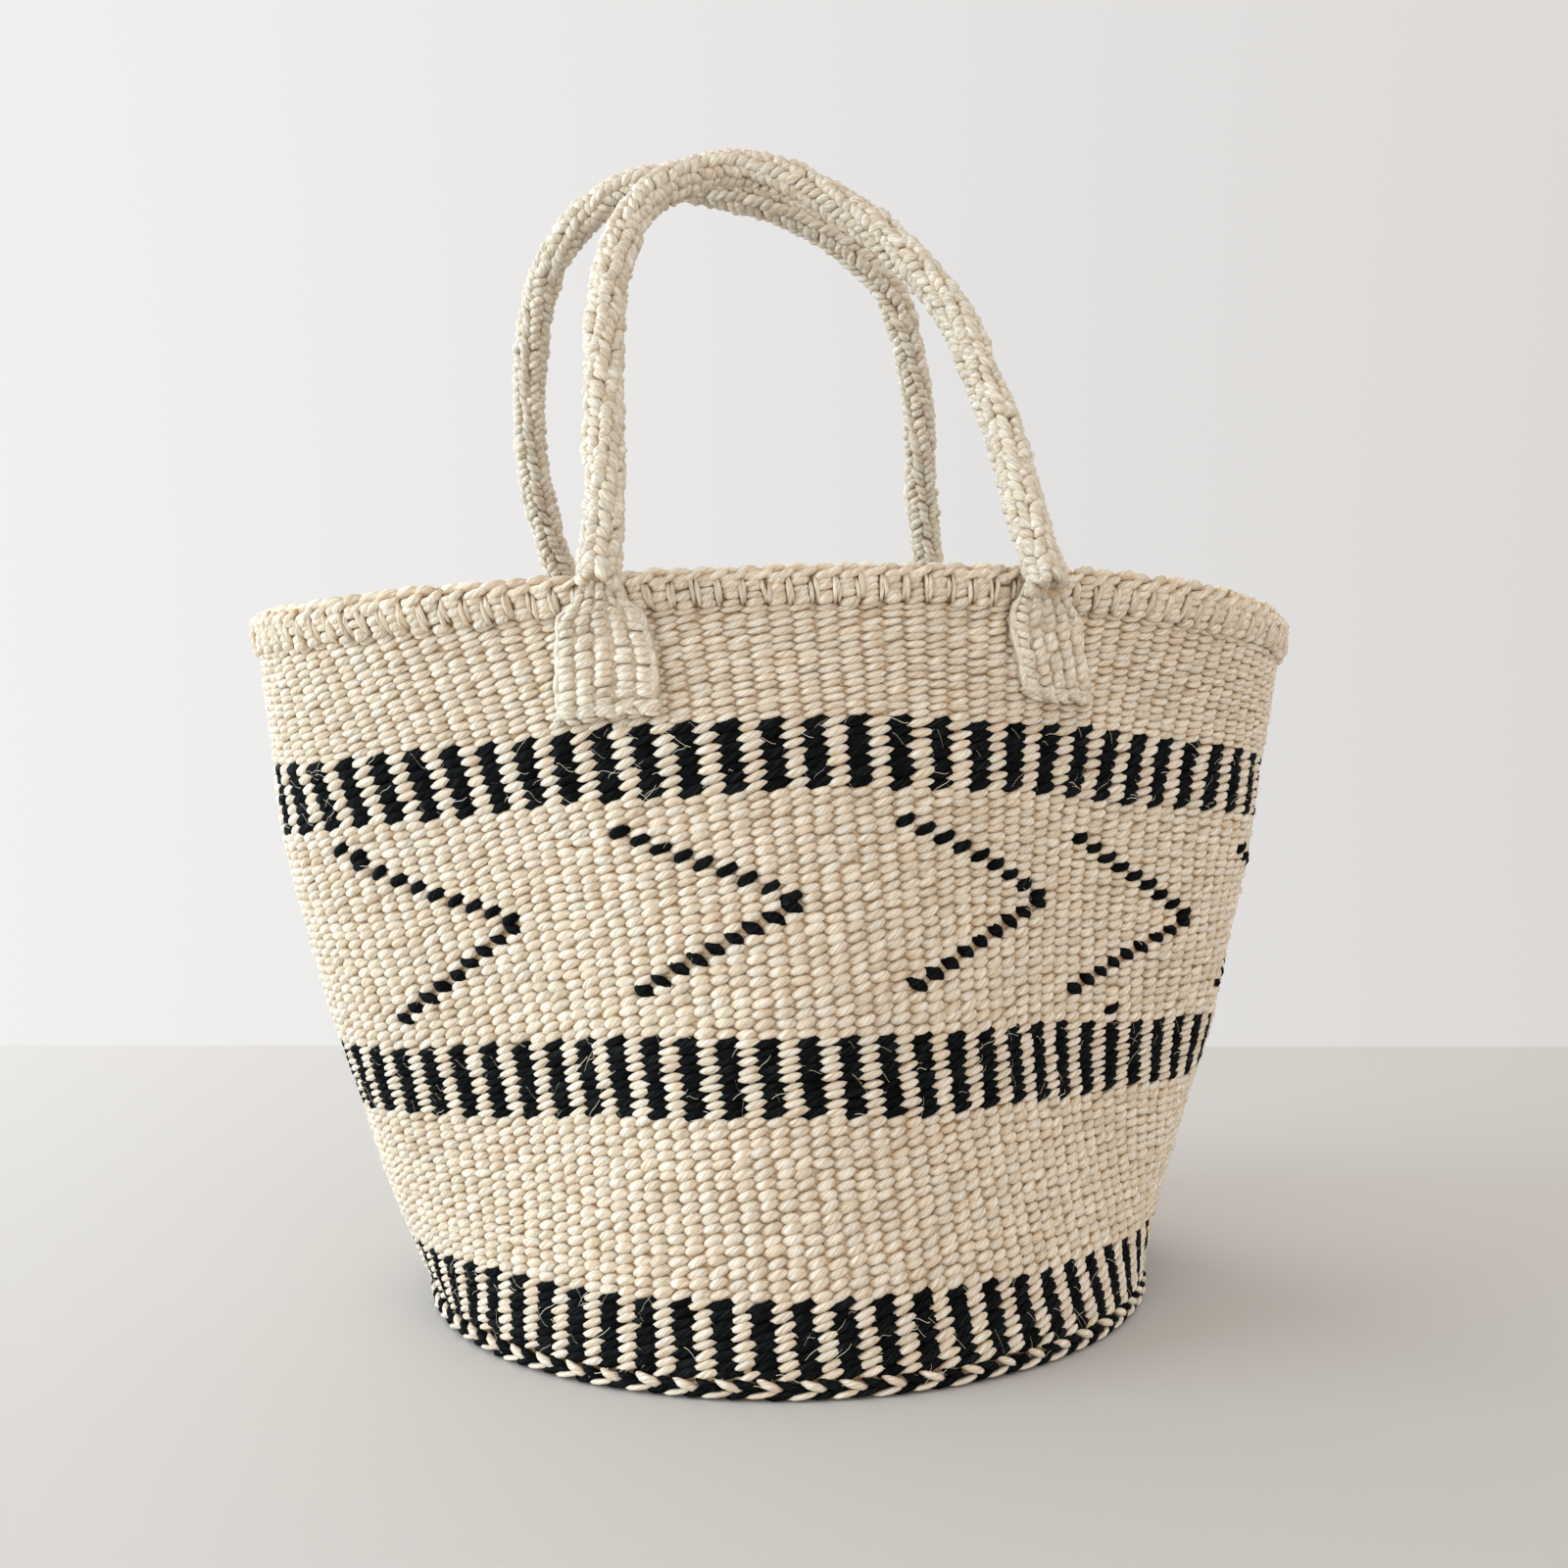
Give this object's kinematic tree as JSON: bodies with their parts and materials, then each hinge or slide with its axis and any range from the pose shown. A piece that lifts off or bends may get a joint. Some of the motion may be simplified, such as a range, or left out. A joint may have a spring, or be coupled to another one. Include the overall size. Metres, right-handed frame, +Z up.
{
  "type": "sisal tote",
  "caption": "Twined sisal basket bag with a round base, a wide oval mouth, striped bands, a chevron band and two braided rope handles on sewn tabs.",
  "frame": {"origin": "middle of the base's underside, on the surface that the bag stands on", "axes": "+Z up, X along the long way of the mouth, -Y towards the front face that the picture shows"},
  "size_m": [0.3638, 0.25, 0.3963],
  "materials": {
    "natural_sisal": "matte fibre with a slight sheen",
    "pale_sisal": "matte fibre with a slight sheen",
    "black_sisal": "dyed fibre with a slight sheen"
  },
  "bodies": {
    "bag": {"base_disc": "natural_sisal", "base_edge_plait": "black_sisal", "lower_stripe_band": "black_sisal", "lower_plain_wall": "natural_sisal", "middle_stripe_band": "black_sisal", "chevron_wall": "natural_sisal", "upper_stripe_band": "black_sisal", "upper_plain_wall": "natural_sisal", "rim_core": "natural_sisal", "rim_binding": "natural_sisal", "rim_border_plait": "natural_sisal", "front_left_tab": "pale_sisal", "front_left_tab_end_loops": "pale_sisal", "front_right_tab": "pale_sisal", "front_right_tab_end_loops": "pale_sisal", "rear_left_tab": "pale_sisal", "rear_left_tab_end_loops": "pale_sisal", "rear_right_tab": "pale_sisal", "rear_right_tab_end_loops": "pale_sisal"},
    "front_handle": {"front_handle_core": "natural_sisal", "front_handle_sleeve": "pale_sisal"},
    "rear_handle": {"rear_handle_core": "natural_sisal", "rear_handle_sleeve": "pale_sisal"}
  },
  "joints": [
    {"name": "front_handle_swing", "type": "hinge", "parent": "bag", "child": "front_handle", "pos_m": [0, -0.103, 0.24], "axis": [1, 0, 0], "range_deg": [-4, 150]},
    {"name": "rear_handle_swing", "type": "hinge", "parent": "bag", "child": "rear_handle", "pos_m": [0, 0.103, 0.24], "axis": [-1, 0, 0], "range_deg": [-4, 150]}
  ]
}
